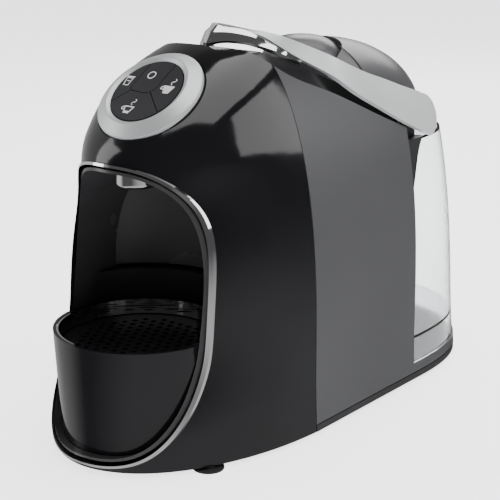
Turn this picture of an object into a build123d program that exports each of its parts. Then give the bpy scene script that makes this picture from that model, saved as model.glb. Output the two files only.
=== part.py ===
from build123d import *
import os
from math import cos, pi, radians, sin, sqrt, tan

# Pod coffee machine. Millimetres, +Z up, front towards -Y, origin in the middle of the footprint.
# Inside this script depths (y) are measured back from the toe of the base, heights up from the
# floor, and x from the plane of symmetry. The export moves the finished parts to the origin.

# ---- Driving sizes of the casing -------------------------------------------------------------
nose_depth = 149.0              # toe to the seam between the two casings
chassis_depth = 133.0           # seam to the back of the rear casing
tank_depth = 128.0              # back of the rear casing to the tail
half_width = 92.0               # of the arch, at its spring
base_flare = 2.0                # how much wider the arch stands at the floor
spring_height = 60.0            # where the sides start to lean in
crown_height = 290.0            # top of the arch that both casings follow
arch_power = 2.5                # squareness of the arch
tail_power = 2.5                # squareness of the tail in plan
tail_taper = 0.145              # how much the tail draws in for each mm of height
wall = 3.0                      # casing wall
seam_gap = 0.5                  # between the casings, and between casing and base

# ---- Base and feet ---------------------------------------------------------------------------
foot_radius = 11.0
sole_clearance = 1.2            # floor to the bottom plate
sole_thickness = 2.0
sole_inset = 4.0
pan_height = 5.2                # height of the base pan's edge
shelf_thickness = 7.0           # of the tank's shelf
screw_radius = 3.2
foot_stub_radius = 5.0
screw_places = [(-74.0, 175.0), (74.0, 175.0), (-74.0, 268.0), (74.0, 268.0), (0.0, 380.0)]
screw_gap = 0.2                 # between the screws and their holes
stub_gap = 0.1
gland_radius = 6.5
gland_bore = 3.6
gland_y = 262.0
gland_height = 26.0

# ---- Front opening and cup niche -------------------------------------------------------------
opening_half_width = 65.0
opening_bottom = 8.0
opening_drop = 83.5             # crown to the top of the opening
opening_power_top = 2.9
opening_power_bottom = 3.7
bead_width = 3.6                # rounded bead round the opening
bead_height = 1.6
bead_fit = 0.05                 # between the bead and the casing
groove_width = 2.3              # dark groove between the bead and the niche
liner_wall = 2.0
niche_radius = 72.0             # curved back wall, about the tray's axis
liner_setback = 0.8             # niche's front edge behind the casing's surface

# ---- Drip tray, grid and capsule bin ---------------------------------------------------------
tray_radius = 61.6              # outside, at the rim
tray_base_radius = 57.0
tray_centre_y = 65.6
tray_rim_height = 88.8
tray_wall = 2.4
tray_clearance = 0.7            # between the tray and the niche
grid_height = 77.0              # top of the grid
grid_thickness = 2.2
grid_hole_radius = 2.1
grid_pitch = 8.0
grid_clearance = 0.6
grid_rest = 0.2                 # between the grid and its ledge
ledge_width = 3.0
ledge_thickness = 2.0
trim_thickness = 1.4
bin_clearance = 1.0             # between the bin and the tray
bin_height = 111.0
bin_back = 232.0
bin_wall = 2.2

# ---- Control panel ---------------------------------------------------------------------------
panel_drop = 41.2               # crown to the centre of the panel
panel_y = 79.6
panel_tilt = 38.8
ring_radius = 39.6
ring_rise = 6.0                 # crest of the ring above its outer edge
ring_crest_radius = 31.0
disc_radius = 27.2              # outer outline of the four buttons
disc_rise = 5.0
button_gap = 0.6
button_thickness = 3.0
button_travel = 0.8
panel_gap = 0.9                 # between ring and casing
carrier_depth = 12.0
ring_seat = -2.0                # underside of the ring
ring_edge = 0.8                 # height of the ring's outer edge
ring_bore_gap = 0.7
board_seat = -1.4
board_thickness = 1.6
board_post_radius = 20.0

# ---- Lever -----------------------------------------------------------------------------------
lever_gap = 2.0                 # between the casing's arch and the lever's arms
band_thickness = 3.2
pivot_y = 304.0
pivot_drop = 77.0               # crown to the pivot
pivot_end_radius = 16.5         # rounded end of each arm
pin_radius = 3.5
pin_clearance = 0.05
ear_outside = 74.0              # outer face of the fixed ears
ear_thickness = 4.0
hub_radius = 8.0
hub_gap = 0.4
grip_step = 0.8                 # grip set in from the band at their joint
grip_bulge = 1.6

# ---- Deck, cap and lid -----------------------------------------------------------------------
deck_inset = 4.0                # deck's side set in from the casing
deck_rise = 12.0                # deck above the casing's cut edge
deck_wall = 2.5
deck_skirt = 10.0               # how far the deck's side hides behind the casing
bulkhead_thickness = 3.0
slot_half_width = 21.0          # pod slot
slot_front = 174.0
slot_back = 212.0
dome_centre_y = 272.0
dome_half_width = 69.0
dome_back = 100.0
dome_front = 44.0
dome_drop = 85.0                # crown to the foot of the dome
dome_height = 65.0
dome_power = 2.3
dome_wall = 2.5
cap_centre_y = 252.0            # round cap over the brew unit
cap_radius = 31.0
cap_top_drop = 16.0             # crown to the top of the cap
cap_round = 24.0                # height of the cap's rounded top
cap_power = 2.6
cap_gap = 0.6

# ---- Water tank ------------------------------------------------------------------------------
tank_gap = 1.2                  # between the tank and the casing
tank_wall = 2.4
tank_floor_height = 36.0
tank_top_drop = 94.0            # crown to the tank's rim
tank_inset = 1.0                # tank's side set in from the casing's outline
spigot_radius = 6.0
spigot_height = 48.0
spigot_bore = 3.5
spigot_reach = 10.0
valve_radius = 9.0
valve_length = 18.0
lid_seat = 0.3                  # between the lid and the tank's rim

# ---- Brew unit and works ---------------------------------------------------------------------
brew_axis_drop = 78.0           # crown to the axis of the brew chamber
chamber_radius = 23.0
pocket_radius = 18.8
piston_stroke = 16.0
piston_clearance = 0.4
spout_radius = 15.0
spout_drop = 101.0              # crown to the bottom of the spout
bin_lift = 25.0                 # free height over the bin

head_front = 152.0              # fixed half of the brew chamber
head_back = 174.0
plate_inside = 24.5             # half the room between the brew unit's side plates
piston_front = 196.0
piston_back = 222.0
stem_radius = 8.0
channel_radius = 4.0
channel_drop = 81.5             # crown to the coffee channel
spout_body_radius = 10.0
spout_neck_radius = 8.0
works_front = 243.0             # pump and thermoblock start here
pump_z = 44.0

# ---- Places that follow from the sizes above -------------------------------------------------
seam_y = nose_depth
bulkhead_y = nose_depth + chassis_depth
tail_y = bulkhead_y + tank_depth
tail_centre = bulkhead_y + 8.0
nose_centre = nose_depth + 13.0
pan_bottom = sole_clearance + sole_thickness
casing_bottom = pan_bottom + pan_height + seam_gap
shelf_top = casing_bottom + shelf_thickness
opening_top = crown_height - opening_drop
opening_centre = (opening_top + opening_bottom) / 2
liner_inset = groove_width
niche_inset = groove_width + liner_wall
tray_inset = niche_inset + tray_clearance
panel_z = crown_height - panel_drop
pivot_z = crown_height - pivot_drop
dome_foot = crown_height - dome_drop
tank_top = crown_height - tank_top_drop
brew_z = crown_height - brew_axis_drop
channel_z = crown_height - channel_drop
spout_bottom = crown_height - spout_drop
panel_plane = Plane(
    origin=(0, panel_y, panel_z),
    x_dir=(1, 0, 0),
    z_dir=(0, -sin(radians(panel_tilt)), cos(radians(panel_tilt))),
)

# Nose of the front casing: (height, setback of the nose, squareness of the plan).
nose_stations = [
    (pan_bottom, 3.0, 2.0),
    (20.0, 0.0, 2.0),
    (45.0, 5.0, 2.0),
    (80.0, 18.5, 2.0),
    (crown_height - 130, 31.0, 2.0),
    (crown_height - 95, 34.5, 2.0),
    (crown_height - 75, 42.0, 2.25),
    (crown_height - 60, 54.5, 2.5),
    (crown_height - 48, 68.0, 2.8),
    (crown_height - 36, 84.5, 3.0),
    (crown_height - 24, 105.0, 2.8),
    (crown_height - 15, 128.0, 2.5),
    (crown_height - 12.5, 148.0, 2.2),
]
# Side view of the cut that opens the top of both casings: (depth, drop below the crown).
cut_line = [(120, -12), (137, 11.5), (152, 26), (193, 45), (245, 68.2), (293, 87.7), (330, 100)]
# Lower and upper edge of the lever's band on the right arm, back to front: (depth, drop).
band_low = [(318, 96), (280, 81), (246, 63.5), (216, 46)]
band_high = [(332, 65), (293, 56), (258, 43.5), (232, 33.5)]
# The band's pointed front bend, arm to tip: (x, depth, drop) of its lower and upper edge and of
# the grip's lower edge. The grip starts three stations later.
bend_low = [
    (61.5, 203.5, 35.2), (53.5, 196, 29.5), (46.5, 190.5, 25), (39.5, 184.5, 19.7),
    (33, 178.5, 14.3), (26.5, 172.5, 9), (19.8, 166.3, 4.5), (13.5, 160.4, 1.4),
    (8, 156, -0.5), (3.5, 152.6, -1.3), (0, 151.3, -1.6),
]
bend_high = [
    (56.2, 209.7, 22.5), (49.5, 203, 18.5), (43.5, 195.8, 14.5), (37.5, 188.5, 10.7),
    (31.3, 181.9, 7.5), (24.5, 176, 5.2), (18, 171.5, 4), (12.5, 168, 3.4),
    (7.5, 165.8, 3), (3.5, 164.6, 2.8), (0, 164.2, 2.8),
]
grip_low = [
    (47, 188.5, 26.2), (41.5, 181, 21.7), (36, 173.5, 17.4), (30.5, 168, 14.8),
    (24, 161.5, 12), (17, 154, 10.4), (10.5, 147.5, 9.8), (4.5, 141, 10.6), (0, 138.5, 11.2),
]


# ---- Shared shapes ---------------------------------------------------------------------------
def half_width_at(z):
    """Half width of the arch at a height."""
    flare = base_flare * max(0.0, 1 - z / spring_height) ** 2
    rise = min(max(0.0, (z - spring_height) / (crown_height - spring_height)), 1.0)
    return (half_width + flare) * (1 - rise ** arch_power) ** (1 / arch_power)


def signed_power(value, power):
    return abs(value) ** power * (1 if value >= 0 else -1)


def super_points(a, b, power, start, end, steps):
    """Points of a superellipse between two angles."""
    points = []
    for i in range(steps + 1):
        t = start + (end - start) * i / steps
        x = a * signed_power(cos(t), 2 / power)
        y = b * signed_power(sin(t), 2 / power)
        points.append((round(x, 5), round(y, 5)))
    return points


def nose_section(z, setback, power, grow, back=nose_centre + 10):
    """Plan of the front casing at a height: superellipse nose and a straight back."""
    a = half_width_at(z) + grow
    b = nose_centre - setback + grow
    points = [(x, nose_centre + y, z) for x, y in super_points(a, b, power, 0, -pi, 16)]
    nose = Spline(*points, tangents=[(0, -1, 0), (0, 1, 0)])
    sides = Polyline(points[-1], (-a, back, z), (a, back, z), points[0])
    return Wire([nose] + list(sides.edges()))


def nose_body(grow, back=nose_centre + 10):
    """Solid nose, grown (or shrunk) by a distance; the top moves by the same distance."""
    sections = []
    for z, setback, power in nose_stations:
        lift = grow * z / crown_height
        flat = nose_section(z, setback, power, grow, back)
        sections.append(flat.moved(Location((0, 0, lift))))
    if grow < 0:
        z, setback, power = nose_stations[0]
        foot = nose_section(z, setback, power, grow, back).moved(Location((0, 0, -10)))
        sections.insert(0, foot)
    return Solid.make_loft(sections)


def arch_prism(grow, front, back, bottom):
    """The casing's arch as a straight solid between two depths."""
    rise = crown_height + grow - spring_height
    points = super_points(half_width + grow, rise, arch_power, 0, pi, 28)
    points = [(x, front, spring_height + z) for x, z in points]
    over = Spline(*points, tangents=[(0, 0, 1), (0, 0, -1)])
    foot = half_width_at(bottom) + grow
    knee = half_width_at(spring_height / 2) + grow
    right = Spline((foot, front, bottom), (knee, front, spring_height / 2), points[0])
    left = Spline(points[-1], (-knee, front, spring_height / 2), (-foot, front, bottom))
    floor = Line((-foot, front, bottom), (foot, front, bottom))
    return extrude(Face(Wire([right, over, left, floor])), amount=back - front, dir=(0, 1, 0))


def tail_section(z, front, grow):
    """Plan behind a depth at a height: straight sides and a superellipse tail."""
    a = half_width_at(z) + grow
    b = tail_y - tail_centre - tail_taper * max(0.0, z - shelf_top) + grow
    points = [(x, tail_centre + y, z) for x, y in super_points(a, b, tail_power, 0, pi, 16)]
    tail = Spline(*points, tangents=[(0, 1, 0), (0, -1, 0)])
    sides = Polyline(points[-1], (-a, front, z), (a, front, z), points[0])
    return Wire([tail] + list(sides.edges()))


def tail_body(heights, front, grow):
    return Solid.make_loft([tail_section(z, front, grow) for z in heights])


def opening_prism(inset, front, back):
    """Prism of the front opening's outline, made smaller all round by inset."""
    a = opening_half_width - inset
    b = (opening_top - opening_bottom) / 2 - inset
    top = super_points(a, b, opening_power_top, 0, pi, 16)
    bottom = super_points(a, b, opening_power_bottom, pi, 2 * pi, 16)
    top = [(x, front, opening_centre + z) for x, z in top]
    bottom = [(x, front, opening_centre + z) for x, z in bottom]
    upper = Spline(*top, tangents=[(0, 0, 1), (0, 0, -1)])
    lower = Spline(*bottom, tangents=[(0, 0, -1), (0, 0, 1)])
    return extrude(Face(Wire([upper, lower])), amount=back - front, dir=(0, 1, 0))


def above_cut(shift=0.0):
    """Everything above the cut line of the casings, moved up by shift."""
    points = [(-140, y, crown_height - drop + shift) for y, drop in cut_line]
    line = Spline(*points)
    top = crown_height + 80
    sides = Polyline(points[-1], (-140, points[-1][1], top), (-140, points[0][1], top), points[0])
    face = Face(Wire([line] + list(sides.edges())))
    return extrude(face, amount=280, dir=(1, 0, 0))


def block(x, y, z):
    """Box between three pairs of coordinates."""
    size = (x[1] - x[0], y[1] - y[0], z[1] - z[0])
    return Pos((x[0] + x[1]) / 2, (y[0] + y[1]) / 2, (z[0] + z[1]) / 2) * Box(*size)


def post(radius, x, y, z):
    """Upright cylinder between two heights."""
    return Pos(x, y, (z[0] + z[1]) / 2) * Cylinder(radius, z[1] - z[0])


def rod_x(radius, x, y, z):
    """Cylinder along x."""
    return Pos((x[0] + x[1]) / 2, y, z) * Rot(0, 90, 0) * Cylinder(radius, x[1] - x[0])


def rod_y(radius, x, y, z):
    """Cylinder along y."""
    return Pos(x, (y[0] + y[1]) / 2, z) * Rot(90, 0, 0) * Cylinder(radius, y[1] - y[0])


def tube(radius, path, bend):
    """Round hose along straight runs joined by arcs."""
    line = FilletPolyline(*path, radius=bend)
    start = Plane(origin=line @ 0, z_dir=line % 0)
    return sweep(start * Circle(radius), path=line)


# ---- Base ------------------------------------------------------------------------------------
foot_places = [(x, y) for x in (-66.0, 66.0) for y in (60.0, tail_y - 70)]


def base_holes(radius, places):
    return [post(radius, x, y, (-5, 30)) for x, y in places]


def make_sole():
    """Black plate under the machine."""
    front = Face(nose_section(sole_clearance, 3.0, 2.0, -sole_inset))
    back = Face(tail_section(sole_clearance, nose_centre, -sole_inset))
    up = (0, 0, 1)
    sole = extrude(front, amount=sole_thickness, dir=up) + extrude(back, amount=sole_thickness, dir=up)
    sole = sole - base_holes(screw_radius + screw_gap, screw_places)
    return sole - base_holes(foot_stub_radius + stub_gap, foot_places)


def make_base_pan():
    """Pan that carries the chassis; its edge shows under the rear casing."""
    front = Face(nose_section(pan_bottom, 3.0, 2.0, -wall - seam_gap))
    back = Face(tail_section(pan_bottom, seam_y + seam_gap, 0))
    up = (0, 0, 1)
    pan = extrude(front, amount=pan_height, dir=up) + extrude(back, amount=pan_height, dir=up)
    return pan - base_holes(screw_radius / 2 + screw_gap, screw_places)


def make_feet():
    """Four rubber feet, each a pad with a stub through the sole."""
    feet = []
    for x, y in foot_places:
        pad = post(foot_radius, x, y, (0, sole_clearance))
        feet.append(pad + post(foot_stub_radius, x, y, (0, pan_bottom)))
    return feet


def make_base_screws():
    """Screws up through the sole and the pan into the casings."""
    screws = []
    for x, y in screw_places:
        head = post(screw_radius, x, y, (sole_clearance, pan_bottom))
        shank = post(screw_radius / 2, x, y, (sole_clearance, pan_bottom + pan_height))
        screws.append(head + shank)
    return screws


def make_cord_gland():
    """Grommet where the mains lead leaves the left side of the rear casing."""
    face = -half_width_at(gland_height - gland_radius - 3) - 0.1
    outside = rod_x(gland_radius + 3, (face - 3, face), gland_y, gland_height)
    neck = rod_x(gland_radius, (face - 3, face + wall + 3), gland_y, gland_height)
    return outside + neck - rod_x(gland_bore, (face - 9, face + 19), gland_y, gland_height)


# ---- Casings ---------------------------------------------------------------------------------
def panel_cylinder(radius, low, high):
    """Cylinder on the panel's axis between two heights over the ring's outer edge."""
    return panel_plane * Pos(0, 0, (low + high) / 2) * Cylinder(radius, high - low)


def make_front_casing():
    """Glossy nose with the niche's opening and the round hole for the panel."""
    casing = nose_body(0) - nose_body(-wall)
    casing = casing - block((-150, 150), (seam_y, seam_y + 60), (-20, crown_height + 40))
    casing = casing - above_cut()
    casing = casing - opening_prism(-bead_width / 2 - bead_fit, -30, seam_y - 20)
    return casing - panel_cylinder(ring_radius + panel_gap, -30, 30)


def make_opening_bead():
    """Rounded bead that frames the front opening."""
    skin = nose_body(bead_height) - nose_body(-wall / 2)
    ring = opening_prism(-bead_width / 2, -30, seam_y - 25) - opening_prism(0.0, -30, seam_y - 25)
    return skin & ring


def make_rear_casing():
    """Satin rear casing: side panels, back edge and the tank's shelf in one moulding."""
    front = seam_y + seam_gap
    casing = arch_prism(0, front, bulkhead_y, casing_bottom)
    casing = casing - arch_prism(-wall, front - 5, bulkhead_y + 5, casing_bottom - 5)
    casing = casing - above_cut()
    shelf = tail_body([casing_bottom, shelf_top], bulkhead_y - wall, 0)
    casing = casing + shelf
    gland = rod_x(gland_radius, (-half_width - 20, -half_width + 20), gland_y, gland_height)
    return casing - gland


def make_bulkhead():
    """Wall between the works and the tank, standing on the tank's shelf."""
    front = bulkhead_y - bulkhead_thickness
    inside = arch_prism(-wall - seam_gap, front, bulkhead_y, shelf_top + 0.2)
    hole = rod_y(spigot_radius, 0, (bulkhead_y - 20, bulkhead_y + 20), spigot_height)
    return inside - above_cut(-deck_wall) - hole - dome(1.0, tank_top - 8)


def deck_layer(inset, low, high, back):
    """Solid between two shifts of the cut line, inset from the casings' shape."""
    return nose_body(-inset, back) & (above_cut(low) - above_cut(high))


def make_deck():
    """Black deck under the lever, with the slot that the pod drops through."""
    back = bulkhead_y - bulkhead_thickness - seam_gap
    deck = deck_layer(deck_inset, -deck_skirt, deck_rise, back)
    deck = deck - deck_layer(deck_inset + deck_wall, -3 * deck_skirt, deck_rise - deck_wall, back + 5)
    sides = (-slot_half_width, slot_half_width)
    return deck - block(sides, (slot_front, slot_back), (100, crown_height + 40))


# ---- Niche, tray, grid and bin ---------------------------------------------------------------
def tray_cone(inset, low, high):
    """Tapered round solid of the tray, inset from its outside, between two heights."""
    slope = (tray_radius - tray_base_radius) / tray_rim_height
    r_low = tray_base_radius + slope * low - inset
    r_high = tray_base_radius + slope * high - inset
    cone = Cone(r_low, r_high, high - low)
    return Pos(0, tray_centre_y, (low + high) / 2) * cone


def niche_post(radius):
    return post(radius, 0, tray_centre_y, (-10, crown_height))


def niche_volume(inset, radius):
    """Opening's outline run back to a round end about the tray's axis."""
    plan = Pos(0, tray_centre_y) * (Circle(radius) + Pos(0, -60) * Rectangle(2 * radius, 120))
    back = tray_centre_y + radius + 10
    return opening_prism(inset, -30, back) & extrude(plan, amount=crown_height, dir=(0, 0, 1))


def make_niche():
    """Glossy liner of the cup's niche, open below its back wall for the tray and the bin."""
    niche = niche_volume(liner_inset, niche_radius + liner_wall) - niche_volume(niche_inset, niche_radius)
    low_back = opening_prism(niche_inset, tray_centre_y, tray_centre_y + niche_radius + 20)
    niche = niche - (low_back & block((-100, 100), (0, 200), (0, bin_height + bin_clearance)))
    niche = niche - block((-100, 100), (-40, 200), (-10, pan_bottom + pan_height))
    niche = niche - post(spout_neck_radius, 0, tray_centre_y, (spout_bottom, opening_top + 10))
    return niche & nose_body(-liner_setback)


def make_tray():
    """Drip tray: a tapered bucket trimmed to the opening's outline."""
    reach = tray_centre_y + tray_radius + 5
    outside = tray_cone(0, 0, tray_rim_height) & opening_prism(tray_inset, -20, reach)
    floor = opening_bottom + tray_inset + tray_wall
    inside = tray_cone(tray_wall, floor, tray_rim_height + 5)
    inside = inside & opening_prism(tray_inset + tray_wall, -20, reach)
    ledge_top = grid_height - grid_thickness - grid_rest
    ledge = tray_cone(tray_wall - 0.2, ledge_top - ledge_thickness, ledge_top)
    ledge = ledge & opening_prism(tray_inset + tray_wall - 0.2, -20, reach)
    hollow = tray_cone(tray_wall + ledge_width, 0, tray_rim_height)
    hollow = hollow & opening_prism(tray_inset + tray_wall + ledge_width, -20, reach)
    return (outside - inside) + (ledge - hollow)


def make_tray_trim():
    """Bright band round the inside of the tray's rim, above the grid."""
    reach = tray_centre_y + tray_radius + 5
    low = grid_height + 0.6
    high = tray_rim_height - 0.4
    outside = tray_cone(tray_wall, low, high) & opening_prism(tray_inset + tray_wall, -20, reach)
    inset = tray_wall + trim_thickness
    inside = tray_cone(inset, low - 1, high + 1) & opening_prism(tray_inset + inset, -20, reach)
    return outside - inside


def make_grid():
    """Round-holed grid that the cup stands on."""
    reach = tray_centre_y + tray_radius + 5
    inset = tray_wall + trim_thickness + grid_clearance
    grid = tray_cone(inset, grid_height - grid_thickness, grid_height)
    grid = grid & opening_prism(tray_inset + inset, -20, reach)
    holes = []
    rows = int(tray_radius / grid_pitch) + 2
    for row in range(-rows, rows + 1):
        y = row * grid_pitch * sqrt(3) / 2
        for column in range(-rows, rows + 1):
            x = (column + 0.5 * (row % 2)) * grid_pitch
            if sqrt(x * x + y * y) < tray_base_radius - inset - grid_pitch * 0.7:
                hole = post(grid_hole_radius, x, tray_centre_y + y, (grid_height - 9, grid_height + 9))
                holes.append(hole)
    return grid - holes


def make_bin():
    """Used-pod bin behind the tray; its front ledge follows the tray's round back."""
    front = niche_post(tray_radius + bin_clearance)
    shell = block((-100, 100), (tray_centre_y, bin_back), (0, bin_height))
    outside = (shell & opening_prism(tray_inset, 0, bin_back)) - front
    floor = opening_bottom + tray_inset + bin_wall
    room = block((-100, 100), (tray_centre_y, bin_back - bin_wall), (floor, bin_height + 10))
    room = room & opening_prism(tray_inset + bin_wall, 0, bin_back)
    under_ledge = room & block((-100, 100), (0, bin_back), (0, bin_height - bin_wall))
    room = room - niche_post(niche_radius - bin_clearance)
    return outside - room - (under_ledge - niche_post(tray_radius + bin_clearance + bin_wall))


# ---- Control panel ---------------------------------------------------------------------------
def make_panel_carrier():
    """Black cup that holds the panel in the casing's round hole."""
    cup = panel_cylinder(ring_radius, -carrier_depth, ring_seat)
    cup = cup - panel_cylinder(ring_radius - 3.5, -carrier_depth + 2.5, 10)
    for i in range(4):
        u = board_post_radius * cos(pi / 4 + i * pi / 2)
        w = board_post_radius * sin(pi / 4 + i * pi / 2)
        stand = Pos(u, w, (board_seat - carrier_depth) / 2) * Cylinder(2.5, board_seat + carrier_depth)
        cup = cup + panel_plane * stand
    return cup


def make_control_ring():
    """Wide dished ring with a soft crest round the buttons."""
    bore = disc_radius + ring_bore_gap
    profile = Polyline(
        (bore, ring_seat),
        (ring_radius, ring_seat),
        (ring_radius, ring_edge),
        (ring_crest_radius, ring_rise),
        (bore, disc_rise - 0.6),
        close=True,
    )
    face = Face(Wire(profile.edges()))
    corners = face.vertices().filter_by(lambda v: v.Y > ring_edge - 0.1 and v.X > bore + 0.5)
    face = fillet(corners, 1.2)
    ring = revolve(Plane.XZ * face, axis=Axis.Z)
    return panel_plane * ring


def button_faces():
    """Plan of the four buttons in the panel's plane, split by narrow grooves."""
    disc = Circle(disc_radius)
    power = Polyline((-11.2, 32), (-15.4, -0.8), (5.4, -2.6), (9.8, 32), close=True)
    power = Face(Wire(power.edges()))
    low = power.vertices().filter_by(lambda v: v.Y < 0)
    power = fillet([v for v in low if v.X < 0], 3.5)
    corner = [v for v in power.vertices() if v.X > 5 and v.Y < 0]
    power = fillet(corner, 8.0)
    rest = disc - offset(power, amount=button_gap)
    left_cut = Pos(-20.0, -9.0) * Rot(0, 0, 51) * Rectangle(24, button_gap)
    right_cut = Pos(13.3, -9.4) * Rot(0, 0, -42) * Rectangle(36, button_gap)
    rest = rest - left_cut - right_cut
    faces = {"power_button": disc & power}
    parts = sorted(rest.faces(), key=lambda f: f.center().X)
    faces["hot_water_button"] = parts[0]
    faces["short_coffee_button"] = parts[1]
    faces["long_coffee_button"] = parts[2]
    return faces


def make_buttons():
    """Four press buttons that fill the ring."""
    buttons = {}
    for name, face in button_faces().items():
        cap = extrude(face, amount=button_thickness, dir=(0, 0, 1))
        buttons[name] = panel_plane * Pos(0, 0, disc_rise - button_thickness) * cap
    return buttons


def make_button_board():
    return panel_cylinder(disc_radius - 1, board_seat, board_seat + board_thickness)


def make_button_switches():
    """One small switch under each button."""
    top = disc_rise - button_thickness - button_travel
    bottom = board_seat + board_thickness
    switches = []
    for u, w in ((-3, 13), (-20, 6), (-5, -16), (16, 3)):
        body = Pos(u, w, (top + bottom) / 2) * Box(5, 5, top - bottom)
        switches.append(panel_plane * body)
    return switches


# ---- Lever -----------------------------------------------------------------------------------
def band_edge(arm, bend, extra):
    """Points of one edge of the band, from the right arm's end to the tip."""
    points = []
    for y, drop in arm:
        z = crown_height - drop
        points.append(Vector(half_width_at(z) + extra, y, z))
    for x, y, drop in bend:
        points.append(Vector(x, y, crown_height - drop))
    return points


def mirrored(points):
    """The right-hand points followed by their mirror images."""
    return points + [Vector(-p.X, p.Y, p.Z) for p in reversed(points[:-1])]


def even_stations(lows, highs, count):
    """Matching points of two edges, spread evenly along the lower one."""
    steps = [(q - p).length for p, q in zip(lows, lows[1:])]
    places = [sum(steps[:i]) / sum(steps) for i in range(len(lows))]
    low_line = Edge.make_spline(lows, parameters=places)
    high_line = Edge.make_spline(highs, parameters=places)
    shares = [i / count for i in range(count + 1)]
    mode = PositionMode.PARAMETER
    return [(low_line.position_at(t, mode), high_line.position_at(t, mode)) for t in shares]


def ribbon(lows, highs, thickness, count, inset=0.0, bulge=0.0):
    """Solid strip between two edges, thickened towards the inside, bulged in its middle."""
    pairs = even_stations(mirrored(lows), mirrored(highs), count)
    sections = []
    for i, (low, high) in enumerate(pairs):
        run = pairs[min(i + 1, count)][1] - pairs[max(i - 1, 0)][1]
        inward = run.cross(high - low).normalized()
        if inward.dot(Vector(-low.X, pivot_y - low.Y, -120)) < 0:
            inward = inward * -1
        start = inward * inset
        depth = inward * (inset + thickness)
        middle = (low + high) / 2 - inward * bulge
        corners = [low + start, middle + start, high + start, high + depth, middle + depth, low + depth]
        sections.append(Wire(Polyline(*corners, close=True).edges()))
    return Solid.make_loft(sections)


def arm_outline():
    """Side view of the arms: everything in front of the pivot, and a round end."""
    front = block((-150, 150), (0, pivot_y), (100, crown_height + 60))
    return front + rod_x(pivot_end_radius, (-150, 150), pivot_y, pivot_z)


def band_lows():
    return band_edge(band_low, bend_low, lever_gap + band_thickness)


def band_ribbon():
    highs = band_edge(band_high, bend_high, lever_gap + band_thickness)
    return ribbon(band_lows(), highs, band_thickness, 28)


def make_lever_band():
    """Satin band of the lever with the hubs of its two pivots."""
    band = band_ribbon() & arm_outline()
    reach = half_width_at(pivot_z) + lever_gap + 0.5
    for side in (1, -1):
        inner = ear_outside + hub_gap
        hub = rod_x(hub_radius, sorted((side * inner, side * reach)), pivot_y, pivot_z)
        depth = sorted((side * (inner - 2), side * (reach - 0.6)))
        band = band + hub - rod_x(pin_radius + pin_clearance, depth, pivot_y, pivot_z)
    return band


def make_lever_grip():
    """Bright lip under the front of the band, where the hand lifts it."""
    lows = [Vector(x, y, crown_height - drop) for x, y, drop in grip_low]
    highs = band_lows()[-len(grip_low):]
    grip = ribbon(lows, highs, band_thickness, 24, grip_step, grip_bulge) - band_ribbon()
    return grip.solids().sort_by(SortBy.VOLUME)[-1]


def make_lever_pins():
    pins = []
    outer = half_width_at(pivot_z) + lever_gap - 0.8
    for side in (1, -1):
        ends = sorted((side * (ear_outside - ear_thickness), side * outer))
        pins.append(rod_x(pin_radius, ends, pivot_y, pivot_z))
    return pins


def frame_profile(grow):
    """Side view of the frame that carries the lever, behind the rear casing."""
    top = tank_top
    front = bulkhead_y + 0.2
    curve = Spline(
        (-140, front, tank_top - 38 - grow),
        (-140, bulkhead_y + 3.5 + grow, tank_top - 26),
        (-140, bulkhead_y + 10 + grow, tank_top - 12),
        (-140, bulkhead_y + 21 + grow, top),
    )
    close = Polyline(curve @ 1, (-140, front, top), curve @ 0)
    return extrude(Face(Wire([curve] + list(close.edges()))), amount=280, dir=(1, 0, 0))


def make_lever_frame():
    """Cross member behind the casing with an ear for each pivot pin."""
    frame = frame_profile(0) & arch_prism(-0.3, bulkhead_y, bulkhead_y + 60, casing_bottom)
    inner = (-ear_outside + 12, ear_outside - 12)
    hollow = block(inner, (bulkhead_y + 3, bulkhead_y + 60), (0, tank_top - 3))
    frame = frame - hollow
    for side in (1, -1):
        width = sorted((side * (ear_outside - ear_thickness), side * ear_outside))
        foot = block(width, (pivot_y - 14, pivot_y - 2), (tank_top - 1, pivot_z))
        ear = foot + rod_x(hub_radius, width, pivot_y, pivot_z)
        bore = rod_x(pin_radius, sorted((side * 60, side * 90)), pivot_y, pivot_z)
        frame = frame + ear - bore
    return frame


# ---- Cap, lid and tank -----------------------------------------------------------------------
def dome_section(grow, level):
    """Plan of the dome at a share of its height; the front is shorter than the back."""
    size = sqrt(1 - level ** 2)
    a = (dome_half_width + grow) * size
    z = dome_foot + (dome_height + grow) * level
    back = super_points(a, (dome_back + grow) * size, dome_power, 0, pi, 16)
    front = super_points(a, (dome_front + grow) * size, dome_power, pi, 2 * pi, 16)
    back = [(x, dome_centre_y + y, z) for x, y in back]
    front = [(x, dome_centre_y + y, z) for x, y in front]
    rear = Spline(*back, tangents=[(0, 1, 0), (0, -1, 0)])
    return Wire([rear, Spline(*front, tangents=[(0, -1, 0), (0, 1, 0)])])


def dome(grow, foot):
    """Long dome behind the lever's bend, with straight sides below its foot."""
    levels = [0, 0.2, 0.4, 0.6, 0.76, 0.88, 0.95, 0.985, 0.997]
    skirt = extrude(Face(dome_section(grow, 0)), amount=dome_foot - foot, dir=(0, 0, -1))
    return Solid.make_loft([dome_section(grow, level) for level in levels]) + skirt


def cap_post(radius):
    return post(radius, 0, cap_centre_y, (100, crown_height + 60))


def cap_shape(grow):
    """Round solid of the cap: a soft top over a straight side."""
    spring = crown_height - cap_top_drop - cap_round
    curve = super_points(cap_radius + grow, cap_round + grow, cap_power, 0, pi / 2, 10)
    curve = [(r, spring + z) for r, z in curve]
    over = Spline(*curve, tangents=[(0, 1), (-1, 0)])
    sides = Polyline(over @ 1, (0, dome_foot), (cap_radius + grow, dome_foot), over @ 0)
    face = Face(Wire([over] + list(sides.edges())))
    return Pos(0, cap_centre_y, 0) * revolve(Plane.XZ * face, axis=Axis.Z)


def make_brew_cap():
    """Round grey cap over the brew unit."""
    return (cap_shape(0) - cap_shape(-dome_wall)) & above_cut(deck_rise + 0.3)


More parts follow.
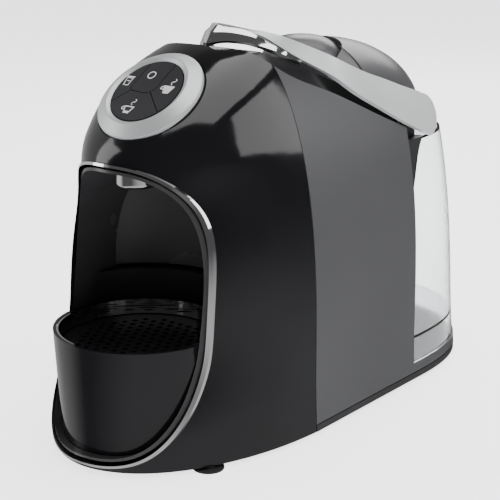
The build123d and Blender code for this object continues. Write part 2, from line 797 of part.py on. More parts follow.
def make_tank_lid():
    """Grey domed lid of the tank, open round the cap."""
    shell = dome(0, tank_top + lid_seat) - dome(-dome_wall, tank_top - 5)
    over_deck = block((-100, 100), (150, bulkhead_y - bulkhead_thickness), (150, crown_height))
    shell = shell - (over_deck - above_cut(deck_rise + 0.5))
    hole = cap_radius + cap_gap
    way = block((-hole, hole), (150, cap_centre_y), (150, crown_height + 20))
    return shell - (cap_post(hole) + way)


def tank_heights(low, high):
    """Heights of the loft sections of the tank."""
    count = 6
    return [low + (high - low) * i / count for i in range(count + 1)]


def make_tank():
    """Clear tank with a raised floor and an opening under the lid."""
    front = bulkhead_y + tank_gap
    bottom = shelf_top + 0.3
    tank = tail_body(tank_heights(bottom, tank_top), front, -tank_inset)
    inset = -tank_inset - tank_wall
    inner_front = front + tank_wall
    below = tail_body([bottom - 5, tank_floor_height], inner_front, inset)
    floor = tank_floor_height + tank_wall
    above = tail_body(tank_heights(floor, tank_top - tank_wall), inner_front, inset)
    above = above - frame_profile(2 * tank_gap + tank_wall)
    mouth = dome(-dome_wall - 1.5, tank_top - 10) - block((-150, 150), (0, pivot_y + 12), (0, 400))
    tank = tank - frame_profile(2 * tank_gap) - below - above - mouth
    return tank - rod_y(valve_radius, 0, (front - 5, front + 8), spigot_height)


def make_tank_valve():
    """Valve in the tank's front wall that takes the machine's spigot."""
    front = bulkhead_y + tank_gap
    body = rod_y(valve_radius, 0, (front, front + valve_length), spigot_height)
    socket = rod_y(spigot_radius + 0.05, 0, (front - 5, front + spigot_reach), spigot_height)
    duct = rod_y(spigot_bore, 0, (front, front + valve_length + 5), spigot_height)
    return body - socket - duct


def make_tank_strainer():
    """Fine strainer behind the valve."""
    back = bulkhead_y + tank_gap + valve_length
    cage = rod_y(valve_radius - 2, 0, (back, back + 10), spigot_height)
    return cage - rod_y(valve_radius - 3.5, 0, (back - 1, back + 8.5), spigot_height)


def make_spigot():
    """Water spigot through the bulkhead."""
    front = bulkhead_y - bulkhead_thickness - 8
    outside = rod_y(spigot_radius, 0, (front, bulkhead_y + tank_gap + spigot_reach - 1), spigot_height)
    return outside - rod_y(spigot_bore, 0, (front - 5, bulkhead_y + 60), spigot_height)


def make_spigot_gasket():
    ring = rod_y(spigot_radius + 3, 0, (bulkhead_y, bulkhead_y + tank_gap - 0.3), spigot_height)
    return ring - rod_y(spigot_radius, 0, (bulkhead_y - 5, bulkhead_y + 5), spigot_height)


# ---- Brew unit -------------------------------------------------------------------------------
def make_brew_head():
    """Fixed half of the brew chamber."""
    body = block((-plate_inside, plate_inside), (head_front, head_back), (brew_z - 24, brew_z + 22))
    pocket = rod_y(pocket_radius, 0, (head_back - 6, head_back + 5), brew_z)
    drain = rod_y(channel_radius, 0, (head_front - 5, head_back + 5), channel_z)
    return body - pocket - drain


def make_brew_frame():
    """Two side plates and a back plate that guide the piston."""
    back = piston_back + piston_stroke + 2
    frame = block((-plate_inside - 3, plate_inside + 3), (head_front, back + 3), (brew_z - 24, brew_z + 16))
    room = block((-plate_inside, plate_inside), (head_front - 5, back), (brew_z - 40, brew_z + 40))
    return frame - room - rod_y(stem_radius + 1, 0, (back - 5, back + 10), brew_z)


def make_pod_seal():
    ring = rod_y(pocket_radius - 0.2, 0, (head_back - 6, head_back - 4), brew_z)
    return ring - rod_y(pocket_radius - 4, 0, (head_back - 10, head_back), brew_z)


def make_piston():
    """Moving half of the brew chamber, driven by the lever."""
    head = rod_y(pocket_radius - piston_clearance, 0, (piston_front, piston_front + 12), brew_z)
    groove = rod_y(pocket_radius + 2, 0, (piston_front + 4, piston_front + 7), brew_z)
    groove = groove - rod_y(pocket_radius - 3, 0, (piston_front, piston_front + 12), brew_z)
    stem = rod_y(stem_radius, 0, (piston_front + 12, piston_back), brew_z)
    return head - groove + stem


def make_piston_ring():
    """Seal in the piston's groove."""
    ring = rod_y(pocket_radius - piston_clearance - 0.2, 0, (piston_front + 4, piston_front + 7), brew_z)
    return ring - rod_y(pocket_radius - 3, 0, (piston_front, piston_front + 12), brew_z)


def make_piercing_plate():
    """Steel plate on the piston with three points that open the pod."""
    plate = rod_y(pocket_radius - 4, 0, (piston_front - 1, piston_front), brew_z)
    for i in range(3):
        angle = 2 * pi * i / 3
        place = Pos(9 * sin(angle), piston_front - 3, brew_z + 9 * cos(angle))
        plate = plate + place * Rot(90, 0, 0) * Cone(1.6, 0.3, 4)
    return plate


def make_chute():
    """Chute that drops used pods into the bin."""
    top = brew_z - 24
    low = bin_height + bin_lift
    outside = block((-plate_inside, plate_inside), (slot_front - 2, slot_back + 6), (low, top - 0.3))
    inner = (-plate_inside + 2, plate_inside - 2)
    return outside - block(inner, (slot_front, slot_back + 4), (low - 5, top + 5))


def make_coffee_channel():
    """Pipe from the brew head forward to the spout."""
    pipe = rod_y(channel_radius, 0, (tray_centre_y + spout_body_radius, head_front), channel_z)
    return pipe - rod_y(channel_radius - 1.5, 0, (tray_centre_y, head_front + 5), channel_z)


def make_spout_body():
    """Black distributor over the niche's ceiling with the nozzle below it."""
    body = post(spout_body_radius, 0, tray_centre_y, (opening_top - 1, channel_z + channel_radius))
    neck = post(spout_neck_radius - 0.4, 0, tray_centre_y, (spout_bottom + 4, opening_top - 1))
    duct = post(3, 0, tray_centre_y, (spout_bottom, channel_z))
    side = rod_y(channel_radius - 1.5, 0, (tray_centre_y, tray_centre_y + 30), channel_z)
    return body + neck - duct - side


def make_coffee_outlet():
    """Bright round outlet under the niche's ceiling."""
    top = opening_top - niche_inset - 0.6
    shell = post(spout_radius, 0, tray_centre_y, (spout_bottom, top))
    shell = fillet(shell.edges().group_by(Axis.Z)[0], 3.0)
    bore = post(spout_neck_radius - 0.4, 0, tray_centre_y, (spout_bottom + 4, top + 5))
    return shell - bore - post(5, 0, tray_centre_y, (spout_bottom - 5, top))


# ---- Works -----------------------------------------------------------------------------------
def make_boiler():
    """Thermoblock behind the brew unit."""
    body = block((-46, 4), (works_front, works_front + 30), (brew_z - 88, brew_z - 42))
    body = fillet(body.edges().filter_by(Axis.Y), 6)
    for i in range(5):
        rib = (-40 + 10 * i, -36 + 10 * i)
        body = body + block(rib, (works_front - 2, works_front), (brew_z - 84, brew_z - 46))
    return body


def make_boiler_bracket():
    back = bulkhead_y - bulkhead_thickness
    return block((-42, 0), (works_front + 30, back), (brew_z - 80, brew_z - 50))


def make_pump():
    """Vibration pump: coil housing with an inlet and an outlet stub."""
    body = block((14, 62), (works_front + 2, works_front + 34), (pump_z - 16, pump_z + 16))
    body = fillet(body.edges().filter_by(Axis.X), 5)
    stubs = rod_x(6, (6, 14), works_front + 18, pump_z) + rod_x(6, (62, 72), works_front + 18, pump_z)
    return body + stubs


def make_pump_mounts():
    """Rubber blocks that hang the pump off the base pan."""
    low = pan_bottom + pan_height
    depth = (works_front + 6, works_front + 30)
    return [block((x, x + 8), depth, (low, pump_z - 16)) for x in (18, 50)]


def make_flow_meter():
    body = rod_x(13, (-34, -20), works_front + 14, spigot_height + 16)
    return body + rod_x(4, (-20, -14), works_front + 14, spigot_height + 16)


def make_hoses():
    """Hoses: tank to flow meter, flow meter to pump, pump to boiler, boiler to brew head."""
    y = works_front + 18
    start = bulkhead_y - bulkhead_thickness - 8
    z = spigot_height
    suction = tube(3, [(0, start, z), (0, y - 4, z), (0, y - 4, z + 16), (-14, y - 4, z + 16)], 5)
    z = pump_z
    feed = tube(3, [(6, y, z), (-4, y, z), (-4, y, z - 14), (-48, y, z - 14)], 4.5)
    return {"suction_hose": suction, "feed_hose": feed}


def make_control_board():
    return block((74, 75.6), (160, 225), (70, 160))


def make_board_parts():
    """Relay, capacitor, transformer and plugs on the control board."""
    parts = [block((62, 74), (166, 186), (80, 100)), block((64, 74), (192, 206), (80, 96))]
    parts.append(rod_x(5, (62, 74), 215, 90))
    parts.append(block((66, 74), (170, 200), (120, 130)))
    return parts


def make_board_clips():
    """Posts that hold the board off the rear casing."""
    posts = []
    for z in (76, 154):
        reach = half_width_at(z - 3) - wall - 0.8
        posts += [rod_x(3, (75.6, reach), y, z) for y in (164, 221)]
    return posts


def build():
    """Every part by node name."""
    parts = {
        "bottom_plate": make_sole(),
        "base_pan": make_base_pan(),
        "rubber_feet": make_feet(),
        "base_screws": make_base_screws(),
        "cord_gland": make_cord_gland(),
        "front_casing": make_front_casing(),
        "opening_bead": make_opening_bead(),
        "rear_casing": make_rear_casing(),
        "bulkhead": make_bulkhead(),
        "lever_deck": make_deck(),
        "cup_niche": make_niche(),
        "drip_tray": make_tray(),
        "tray_trim": make_tray_trim(),
        "drip_grid": make_grid(),
        "pod_bin": make_bin(),
        "panel_carrier": make_panel_carrier(),
        "control_ring": make_control_ring(),
        "button_board": make_button_board(),
        "button_switches": make_button_switches(),
        "lever_band": make_lever_band(),
        "lever_grip": make_lever_grip(),
        "lever_pins": make_lever_pins(),
        "lever_frame": make_lever_frame(),
        "brew_cap": make_brew_cap(),
        "tank_lid": make_tank_lid(),
        "water_tank": make_tank(),
        "tank_valve": make_tank_valve(),
        "tank_strainer": make_tank_strainer(),
        "water_spigot": make_spigot(),
        "spigot_gasket": make_spigot_gasket(),
        "brew_head": make_brew_head(),
        "brew_frame": make_brew_frame(),
        "pod_seal": make_pod_seal(),
        "brew_piston": make_piston(),
        "piston_ring": make_piston_ring(),
        "piercing_plate": make_piercing_plate(),
        "pod_chute": make_chute(),
        "coffee_channel": make_coffee_channel(),
        "spout_body": make_spout_body(),
        "coffee_outlet": make_coffee_outlet(),
        "thermoblock": make_boiler(),
        "boiler_bracket": make_boiler_bracket(),
        "water_pump": make_pump(),
        "pump_mounts": make_pump_mounts(),
        "flow_meter": make_flow_meter(),
        "control_board": make_control_board(),
        "board_components": make_board_parts(),
        "board_posts": make_board_clips(),
    }
    parts.update(make_buttons())
    parts.update(make_hoses())
    return parts


def main():
    os.makedirs("parts", exist_ok=True)
    middle = Location((0, -tail_y / 2, 0))
    for name, shape in build().items():
        solids = [s for item in (shape if isinstance(shape, list) else [shape]) for s in item.solids()]
        export_step(Compound(children=[s.moved(middle) for s in solids]), "parts/" + name + ".step")


if __name__ == "__main__":
    main()
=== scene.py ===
# %% [markdown]
# # Pod coffee machine
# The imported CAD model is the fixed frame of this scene: every casing, button and hose is already
# in its place. This notebook gives those pieces their finishes, adds the small printed marks on
# the buttons, and sets up a plain studio. Sizes are in metres and the front faces -Y.

# %% Load the frame
from math import pi, radians
import bmesh
import bpy
from mathutils import Matrix, Vector


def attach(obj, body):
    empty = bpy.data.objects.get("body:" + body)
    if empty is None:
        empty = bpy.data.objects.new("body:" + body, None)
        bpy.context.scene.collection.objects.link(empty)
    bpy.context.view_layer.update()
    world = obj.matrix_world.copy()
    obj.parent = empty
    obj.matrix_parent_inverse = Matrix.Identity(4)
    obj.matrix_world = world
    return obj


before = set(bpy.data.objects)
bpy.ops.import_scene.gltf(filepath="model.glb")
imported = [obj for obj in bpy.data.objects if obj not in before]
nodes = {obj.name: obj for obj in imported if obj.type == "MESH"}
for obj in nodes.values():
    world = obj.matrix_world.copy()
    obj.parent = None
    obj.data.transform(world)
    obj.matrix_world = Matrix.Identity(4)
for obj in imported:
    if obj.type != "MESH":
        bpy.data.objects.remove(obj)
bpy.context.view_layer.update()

# %% [markdown]
# ## The camera
# The machine is looked at from its right front, a little from above. A long lens keeps the
# casing's verticals nearly parallel, as a product picture does.

# %% Camera
CAMERA_PLACE = (0.6148, -0.7886, 0.400)
SWING = 38.52
PITCH = 16.096
LENS = 96.4

camera_data = bpy.data.cameras.new("studio_camera")
camera_data.lens = LENS
camera_data.sensor_width = 36.0
camera = bpy.data.objects.new("studio_camera", camera_data)
camera.location = CAMERA_PLACE
camera.rotation_euler = (radians(90 - PITCH), 0, radians(SWING))
bpy.context.scene.collection.objects.link(camera)
bpy.context.scene.camera = camera
print("camera", camera_data.lens, "mm at", CAMERA_PLACE)

# %% [markdown]
# ## The floor
# The machine stands on a wide pale plate. Glossy black plastic would show the plate as a grey
# haze over its whole lower half, so the plate is kept out of mirror reflections, and the surround
# is made to give those instead. Its finish comes last, when the finish helper exists.

# %% Floor
FLOOR_HALF = 6.0


def make_floor(size):
    """A wide plate under the machine's feet."""
    mesh = bmesh.new()
    bmesh.ops.create_grid(mesh, x_segments=2, y_segments=2, size=size)
    data = bpy.data.meshes.new("floor")
    mesh.to_mesh(data)
    mesh.free()
    plate = bpy.data.objects.new("floor", data)
    bpy.context.scene.collection.objects.link(plate)
    plate.visible_glossy = False
    return plate


floor = make_floor(FLOOR_HALF)
print("floor is", 2 * FLOOR_HALF, "m wide")

# %% [markdown]
# ## The surround
# As a backdrop the surround is white. As a light it is dim, so that black stays black, and it
# glows in two directions only: low on the right, which lightens the foot of the casing, and from
# the left, which draws a thin light edge on the far side of the tray. Each glow is the dot
# product of the view direction and a fixed direction, so it keeps still when the camera moves.

# %% Surround
WHITE = (1.0, 1.0, 1.0, 1.0)
DIM, LOW_GLOW, SIDE_GLOW = 0.09, 0.62, 0.60
LOW_DIRECTION, LOW_SPAN = (0.35, 0.0, -1.0), (0.30, 0.62)
SIDE_DIRECTION, SIDE_SPAN = (-1.0, 0.0, 0.0), (0.62, 0.85)


def directed_glow(tree, place, direction, span, low, high):
    """Strength that rises from low to high as the view turns towards a direction."""
    toward = tree.nodes.new("ShaderNodeVectorMath")
    toward.operation = "DOT_PRODUCT"
    toward.inputs[1].default_value = direction
    tree.links.new(place.outputs["Generated"], toward.inputs[0])
    rise = tree.nodes.new("ShaderNodeMapRange")
    limits = (("From Min", span[0]), ("From Max", span[1]), ("To Min", low), ("To Max", high))
    for name, value in limits:
        rise.inputs[name].default_value = value
    tree.links.new(toward.outputs["Value"], rise.inputs["Value"])
    return rise.outputs["Result"]


def make_surround():
    """White all round as the backdrop, but dimmer as a light, so that black plastic stays black."""
    surround = bpy.data.worlds.new("surround")
    surround.use_nodes = True
    tree = surround.node_tree
    dim = tree.nodes["Background"]
    dim.inputs["Color"].default_value = WHITE
    place = tree.nodes.new("ShaderNodeTexCoord")
    both = tree.nodes.new("ShaderNodeMath")
    below = directed_glow(tree, place, LOW_DIRECTION, LOW_SPAN, DIM, LOW_GLOW)
    beside = directed_glow(tree, place, SIDE_DIRECTION, SIDE_SPAN, 0.0, SIDE_GLOW)
    tree.links.new(below, both.inputs[0])
    tree.links.new(beside, both.inputs[1])
    tree.links.new(both.outputs["Value"], dim.inputs["Strength"])
    white = tree.nodes.new("ShaderNodeBackground")
    white.inputs["Color"].default_value = WHITE
    path = tree.nodes.new("ShaderNodeLightPath")
    choose = tree.nodes.new("ShaderNodeMixShader")
    tree.links.new(path.outputs["Is Camera Ray"], choose.inputs[0])
    tree.links.new(dim.outputs["Background"], choose.inputs[1])
    tree.links.new(white.outputs["Background"], choose.inputs[2])
    tree.links.new(choose.outputs["Shader"], tree.nodes["World Output"].inputs["Surface"])
    bpy.context.scene.world = surround


make_surround()
print("surround strength", DIM, "with glows of", LOW_GLOW, "and", SIDE_GLOW)

# %% [markdown]
# ## Soft boxes
# Glossy plastic shows the shape of each light, so the lights are large: a wide one overhead for
# the shoulders and the lid, a tall one at the right for the long side, and two smaller ones that
# edge the left side and the back.

# %% Soft boxes
def soft_box(name, place, aim, width, height, watts):
    """A rectangular soft light that points at a place."""
    lamp = bpy.data.lights.new(name, "AREA")
    lamp.shape = "RECTANGLE"
    lamp.size = width
    lamp.size_y = height
    lamp.energy = watts
    holder = bpy.data.objects.new(name, lamp)
    holder.location = place
    direction = Vector(aim) - Vector(place)
    holder.rotation_euler = direction.to_track_quat("-Z", "Y").to_euler()
    bpy.context.scene.collection.objects.link(holder)
    return holder


boxes = [
    soft_box("top_box", place=(0.25, 0.1, 1.45), aim=(0.0, 0.0, 0.2), width=1.7, height=1.5,
             watts=24),
    soft_box("right_box", place=(1.6, 0.9, 0.95), aim=(0.0, 0.05, 0.15), width=1.6, height=1.1,
             watts=17),
    soft_box("left_box", place=(-1.3, -0.9, 0.8), aim=(0.0, -0.05, 0.15), width=0.5, height=1.0,
             watts=5),
    soft_box("back_box", place=(-0.6, 1.6, 1.1), aim=(0.0, 0.1, 0.2), width=1.2, height=0.8,
             watts=14),
]
print("soft boxes:", [box.name for box in boxes])

# %% [markdown]
# ## How the finishes are made
# Every finish is a Principled shader. Real mouldings are never one flat colour: the pigment, the
# polish and the skin of the plastic change slightly from place to place. One helper adds these,
# reading Object coordinates, so that the pattern keeps still when a piece moves.

# %% The finish helper
def new_finish(name, color, roughness, metallic=0.0, tint=0.06, patch=18.0,
               rough_spread=0.05, grain=900.0, bump=0.02, stretch=(1, 1, 1)):
    """A Principled material with colour and polish that vary a little over the surface."""
    finish = bpy.data.materials.new(name)
    finish.use_nodes = True
    tree = finish.node_tree
    shader = tree.nodes["Principled BSDF"]
    shader.inputs["Metallic"].default_value = metallic
    place = tree.nodes.new("ShaderNodeTexCoord")
    scale = tree.nodes.new("ShaderNodeMapping")
    scale.inputs["Scale"].default_value = stretch
    tree.links.new(place.outputs["Object"], scale.inputs["Vector"])
    cloud = tree.nodes.new("ShaderNodeTexNoise")
    cloud.inputs["Scale"].default_value = patch
    cloud.inputs["Detail"].default_value = 3.0
    tree.links.new(scale.outputs["Vector"], cloud.inputs["Vector"])
    ramp = tree.nodes.new("ShaderNodeValToRGB")
    low = [c * (1 - tint) for c in color]
    high = [min(1.0, c * (1 + tint)) for c in color]
    ramp.color_ramp.elements[0].position = 0.35
    ramp.color_ramp.elements[0].color = (*low, 1)
    ramp.color_ramp.elements[1].position = 0.65
    ramp.color_ramp.elements[1].color = (*high, 1)
    tree.links.new(cloud.outputs["Fac"], ramp.inputs["Fac"])
    tree.links.new(ramp.outputs["Color"], shader.inputs["Base Color"])
    spread = tree.nodes.new("ShaderNodeMapRange")
    spread.inputs["To Min"].default_value = max(0.0, roughness - rough_spread)
    spread.inputs["To Max"].default_value = roughness + rough_spread
    tree.links.new(cloud.outputs["Fac"], spread.inputs["Value"])
    tree.links.new(spread.outputs["Result"], shader.inputs["Roughness"])
    fine = tree.nodes.new("ShaderNodeTexNoise")
    fine.inputs["Scale"].default_value = grain
    fine.inputs["Detail"].default_value = 2.0
    tree.links.new(scale.outputs["Vector"], fine.inputs["Vector"])
    relief = tree.nodes.new("ShaderNodeBump")
    relief.inputs["Strength"].default_value = bump
    relief.inputs["Distance"].default_value = 0.0002
    tree.links.new(fine.outputs["Fac"], relief.inputs["Height"])
    tree.links.new(relief.outputs["Normal"], shader.inputs["Normal"])
    return finish


def dress(finish, *names):
    """Gives a finish to CAD nodes."""
    for name in names:
        slots = nodes[name].data.materials
        slots.clear()
        slots.append(finish)
    print(finish.name, "->", ", ".join(names))


# %% [markdown]
# ## Casings
# The nose and the tray's drawer are piano-black plastic, polished nearly to a mirror, so the
# finish has a very low roughness and almost no grain. The rear casing is a satin dark grey paint
# with fine metal flake, so it is rougher, and brighter where it faces the lights.

# %% Casings
piano_black = new_finish("piano_black", (0.005, 0.005, 0.006), 0.10, tint=0.15, rough_spread=0.02,
                         bump=0.004)
flake_grey = new_finish("flake_grey", (0.085, 0.085, 0.09), 0.38, metallic=0.5, tint=0.05,
                        patch=6.0, grain=2600.0, bump=0.03)
dress(piano_black, "front_casing", "drip_tray")
dress(flake_grey, "rear_casing")

# %% [markdown]
# ## Black mouldings
# The pan, the bin and the inner works are ordinary matte plastic with a fine spark-eroded
# texture. The deck under the lever is smoother. The niche behind the cup is painted a touch greyer
# than the other black plastic: painted light, standing in for the little light deep inside the
# nose.

# %% Black mouldings
spark_black = new_finish("spark_black", (0.012, 0.012, 0.013), 0.42, tint=0.12, grain=1500.0,
                         bump=0.08)
deck_black = new_finish("deck_black", (0.008, 0.008, 0.009), 0.22, tint=0.12, grain=1200.0,
                        bump=0.02)
grid_black = new_finish("grid_black", (0.014, 0.014, 0.016), 0.28, metallic=0.4, tint=0.1)
dress(spark_black, "base_pan", "bottom_plate", "bulkhead", "panel_carrier", "lever_frame",
      "pod_bin", "spout_body", "brew_frame", "pod_chute", "water_pump", "board_components",
      "button_switches", "board_posts")
# The niche's greyer colour is painted light, standing in for the light that reaches deep inside the
# nose.
niche_grey_painted_light = new_finish("niche_grey_painted_light", (0.035, 0.035, 0.037), 0.26, tint=0.1, grain=1400.0,
                         bump=0.02)
dress(deck_black, "lever_deck")
dress(niche_grey_painted_light, "cup_niche")
dress(grid_black, "drip_grid")

# %% [markdown]
# ## Silver and chrome
# The lever's band and the control ring are blasted and painted silver. The grip, the bead round
# the niche, the tray's inner band and the outlet are polished chrome.

# %% Silver and chrome
blasted_silver = new_finish("blasted_silver", (0.58, 0.59, 0.60), 0.42, metallic=0.6, tint=0.03,
                            patch=9.0, grain=2200.0, bump=0.04)
polished_chrome = new_finish("polished_chrome", (0.78, 0.78, 0.79), 0.06, metallic=1.0, tint=0.02,
                             rough_spread=0.02, bump=0.002)
dress(blasted_silver, "lever_band", "control_ring")
dress(polished_chrome, "lever_grip", "opening_bead", "tray_trim", "coffee_outlet")

# %% [markdown]
# ## Cap and lid
# The round cap and the tank's lid share a soft mid grey with a silky skin.

# %% Cap and lid
silk_grey = new_finish("silk_grey", (0.09, 0.09, 0.094), 0.32, metallic=0.25, tint=0.05, patch=12.0,
                       grain=1800.0, bump=0.03)
dress(silk_grey, "brew_cap", "tank_lid")

# %% [markdown]
# ## Clear tank
# The tank is clear moulded plastic. A Principled shader with full transmission and a slight
# roughness gives the soft look of a thick moulding; its colour is set on the shader's own socket.

# %% Clear tank
def new_clear(name, color, roughness):
    """Clear plastic with a faint waviness in its skin."""
    finish = bpy.data.materials.new(name)
    finish.use_nodes = True
    tree = finish.node_tree
    shader = tree.nodes["Principled BSDF"]
    shader.inputs["Base Color"].default_value = (*color, 1)
    shader.inputs["Transmission Weight"].default_value = 1.0
    shader.inputs["IOR"].default_value = 1.45
    place = tree.nodes.new("ShaderNodeTexCoord")
    wave = tree.nodes.new("ShaderNodeTexNoise")
    wave.inputs["Scale"].default_value = 30.0
    tree.links.new(place.outputs["Object"], wave.inputs["Vector"])
    spread = tree.nodes.new("ShaderNodeMapRange")
    spread.inputs["To Min"].default_value = roughness * 0.6
    spread.inputs["To Max"].default_value = roughness * 1.4
    tree.links.new(wave.outputs["Fac"], spread.inputs["Value"])
    tree.links.new(spread.outputs["Result"], shader.inputs["Roughness"])
    return finish


clear_tank = new_clear("clear_tank", (0.93, 0.95, 0.96), 0.08)
dress(clear_tank, "water_tank")

# %% [markdown]
# ## Buttons
# Four satin dark caps fill the ring, split by narrow grooves.

# %% Buttons
button_satin = new_finish("button_satin", (0.035, 0.035, 0.038), 0.34, metallic=0.3, tint=0.08,
                          grain=1800.0, bump=0.03)
dress(button_satin, "power_button", "hot_water_button", "short_coffee_button",
      "long_coffee_button")

# %% [markdown]
# ## Rubber, steel and the works
# Most of these are hidden at rest, and show when the tank, the tray or the lever moves.

# %% Rubber, steel and the works
soft_rubber = new_finish("soft_rubber", (0.015, 0.015, 0.015), 0.7, tint=0.15, bump=0.1)
milky_plastic = new_finish("milky_plastic", (0.62, 0.62, 0.60), 0.4, tint=0.03)
turned_steel = new_finish("turned_steel", (0.55, 0.55, 0.56), 0.25, metallic=1.0, tint=0.05,
                          stretch=(1, 1, 12))
cast_alloy = new_finish("cast_alloy", (0.52, 0.52, 0.53), 0.5, metallic=0.9, tint=0.1, bump=0.2,
                        grain=500.0)
board_green = new_finish("board_green", (0.015, 0.13, 0.05), 0.35, tint=0.2, patch=60.0)
silicone = new_finish("silicone", (0.55, 0.55, 0.53), 0.45, tint=0.04)
dress(soft_rubber, "rubber_feet", "cord_gland", "spigot_gasket", "pod_seal", "piston_ring",
      "pump_mounts")
dress(milky_plastic, "tank_valve", "tank_strainer", "water_spigot", "brew_head", "brew_piston",
      "flow_meter")
dress(turned_steel, "lever_pins", "base_screws", "piercing_plate", "boiler_bracket")
dress(cast_alloy, "thermoblock")
dress(board_green, "control_board", "button_board")
dress(silicone, "suction_hose", "feed_hose", "coffee_channel")

# %% [markdown]
# ## Marks on the buttons
# Each button carries a small white mark: a ring for power, a glass for hot water, and a small and
# a large cup. They are printed, so each is a very thin raised shape. All are drawn flat with
# bmesh, given a tenth of a millimetre of height, and laid on the panel's sloping plane.

# %% The panel's plane
PANEL_CENTRE = Vector((0.0, -0.1254, 0.2488))
PANEL_TILT = radians(38.8)
FACE_RISE = 0.0050
MARK_HEIGHT = 0.00012
MARK_GAP = 0.00002
panel_place = (Matrix.Translation(PANEL_CENTRE) @ Matrix.Rotation(PANEL_TILT, 4, "X")
               @ Matrix.Translation((0, 0, FACE_RISE)))
mark_white = new_finish("mark_white", (0.82, 0.82, 0.82), 0.5, tint=0.02)


# %% Drawing helpers
FULL_TURN = 2 * pi


def add_ring(mesh, x, y, radius, width, start=0.0, turn=FULL_TURN):
    """Flat ring, or part of one, in the panel's plane."""
    inner = bmesh.ops.create_vert(mesh, co=(radius - width / 2, 0, 0))["vert"][0]
    outer = bmesh.ops.create_vert(mesh, co=(radius + width / 2, 0, 0))["vert"][0]
    edge = mesh.edges.new((inner, outer))
    steps = max(6, int(32 * turn / FULL_TURN))
    bmesh.ops.rotate(mesh, verts=[inner, outer], cent=(0, 0, 0),
                     matrix=Matrix.Rotation(start, 3, "Z"))
    before = set(mesh.verts) - {inner, outer}
    bmesh.ops.spin(mesh, geom=[inner, outer, edge], cent=(0, 0, 0), axis=(0, 0, 1), angle=turn,
                   steps=steps, use_merge=turn == FULL_TURN)
    made = [v for v in mesh.verts if v not in before]
    bmesh.ops.translate(mesh, vec=(x, y, 0), verts=made)


def add_bar(mesh, x, y, length, width, angle=0.0):
    """Flat bar in the panel's plane."""
    made = bmesh.ops.create_grid(mesh, x_segments=1, y_segments=1, size=0.5)["verts"]
    bmesh.ops.scale(mesh, vec=(length, width, 1), verts=made)
    bmesh.ops.rotate(mesh, verts=made, cent=(0, 0, 0), matrix=Matrix.Rotation(angle, 3, "Z"))
    bmesh.ops.translate(mesh, vec=(x, y, 0), verts=made)


def finish_mark(mesh, name, body):
    """Gives a flat drawing its height, lays it on the panel and lets it ride on its button."""
    bmesh.ops.recalc_face_normals(mesh, faces=mesh.faces)
    for face in mesh.faces:
        if face.normal.z < 0:
            face.normal_flip()
    raised = bmesh.ops.extrude_face_region(mesh, geom=list(mesh.faces))["geom"]
    tops = [item for item in raised if isinstance(item, bmesh.types.BMVert)]
    bmesh.ops.translate(mesh, vec=(0, 0, MARK_HEIGHT), verts=tops)
    bmesh.ops.translate(mesh, vec=(0, 0, MARK_GAP), verts=mesh.verts)
    bmesh.ops.recalc_face_normals(mesh, faces=mesh.faces)
    bmesh.ops.transform(mesh, matrix=panel_place, verts=mesh.verts)
    data = bpy.data.meshes.new(name)
    mesh.to_mesh(data)
    mesh.free()
    mark = bpy.data.objects.new(name, data)
    data.materials.append(mark_white)
    bpy.context.scene.collection.objects.link(mark)
    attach(mark, body)
    print(name, "faces:", len(data.polygons))
    return mark


# %% [markdown]
# The power mark is a slim ring.

# %% Power mark
drawing = bmesh.new()
add_ring(drawing, -0.0047, 0.0139, 0.0030, 0.0007)
finish_mark(drawing, "power_mark", "power_press")

# %% [markdown]
# The hot-water mark is a straight-sided glass: two sides, a bottom and a water line.

# %% Hot-water mark
def draw_bowl(mesh, x, y, top, bottom, height, line):
    """Outline of a glass or a bowl, wider at its top."""
    lean = (top - bottom) / 4
    side = (height ** 2 + (2 * lean) ** 2) ** 0.5
    slope = pi / 2 - 2 * lean / height
    add_bar(mesh, x + (top + bottom) / 4, y, side, line, slope)
    add_bar(mesh, x - (top + bottom) / 4, y, side, line, pi - slope)
    add_bar(mesh, x, y - height / 2, bottom + line, line)
    add_bar(mesh, x, y + height / 2, top + line, line)


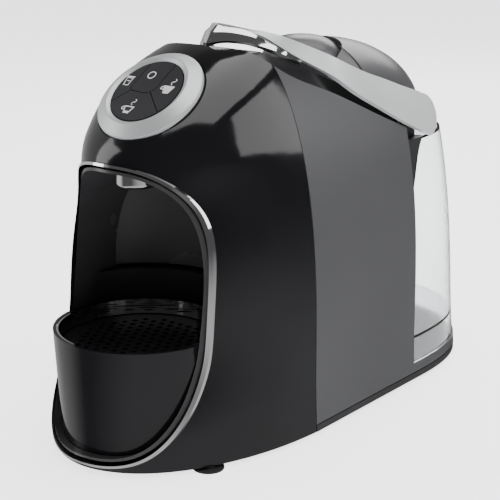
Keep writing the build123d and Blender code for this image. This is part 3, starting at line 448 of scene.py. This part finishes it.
drawing = bmesh.new()
GLASS_X, GLASS_Y = -0.0213, 0.0058
draw_bowl(drawing, GLASS_X, GLASS_Y, 0.0054, 0.0042, 0.0066, 0.0006)
add_bar(drawing, GLASS_X, GLASS_Y + 0.0044, 0.0072, 0.0010)
add_bar(drawing, GLASS_X, GLASS_Y + 0.0006, 0.0020, 0.0006)
finish_mark(drawing, "hot_water_mark", "hot_water_press")

# %% [markdown]
# The two coffee marks are cups seen from the side: a bowl, a handle, a saucer and a wisp of
# steam. The small coffee's cup is an outline and the large one is filled.

# %% Coffee marks
def draw_cup(mesh, x, y, size, filled):
    """Cup with its handle at the left, a saucer line and a wisp of steam."""
    draw_bowl(mesh, x, y, size, size * 0.62, size * 0.56, size * 0.11)
    if filled:
        add_bar(mesh, x, y + size * 0.1, size * 0.84, size * 0.34)
        add_bar(mesh, x, y - size * 0.14, size * 0.7, size * 0.26)
    add_ring(mesh, x - size * 0.6, y + size * 0.06, size * 0.15, size * 0.09)
    add_bar(mesh, x, y - size * 0.42, size * 0.62, size * 0.12)
    add_ring(mesh, x + size * 0.14, y + size * 0.66, size * 0.16, size * 0.07, pi / 2, pi)
    add_ring(mesh, x + size * 0.14, y + size * 0.98, size * 0.16, size * 0.07, -pi / 2, pi)


drawing = bmesh.new()
draw_cup(drawing, -0.0045, -0.0178, 0.0078, False)
finish_mark(drawing, "short_coffee_mark", "short_coffee_press")
drawing = bmesh.new()
draw_cup(drawing, 0.0168, 0.0036, 0.0082, True)
finish_mark(drawing, "long_coffee_mark", "long_coffee_press")

# %% [markdown]
# ## Floor finish
# The floor is nearly white, with a faint unevenness so that it does not look like paper. It also
# glows, so that it stays pale where the machine shades it.

# %% Floor finish
FLOOR_GLOW = 2.4
pale_floor = new_finish("pale_floor", (0.90, 0.90, 0.90), 0.6, tint=0.01, patch=3.0)
floor_shader = pale_floor.node_tree.nodes["Principled BSDF"]
floor_shader.inputs["Emission Color"].default_value = WHITE
floor_shader.inputs["Emission Strength"].default_value = FLOOR_GLOW
floor.data.materials.append(pale_floor)
print("floor finish:", pale_floor.name)

# %% [markdown] Done

print("scene ready")
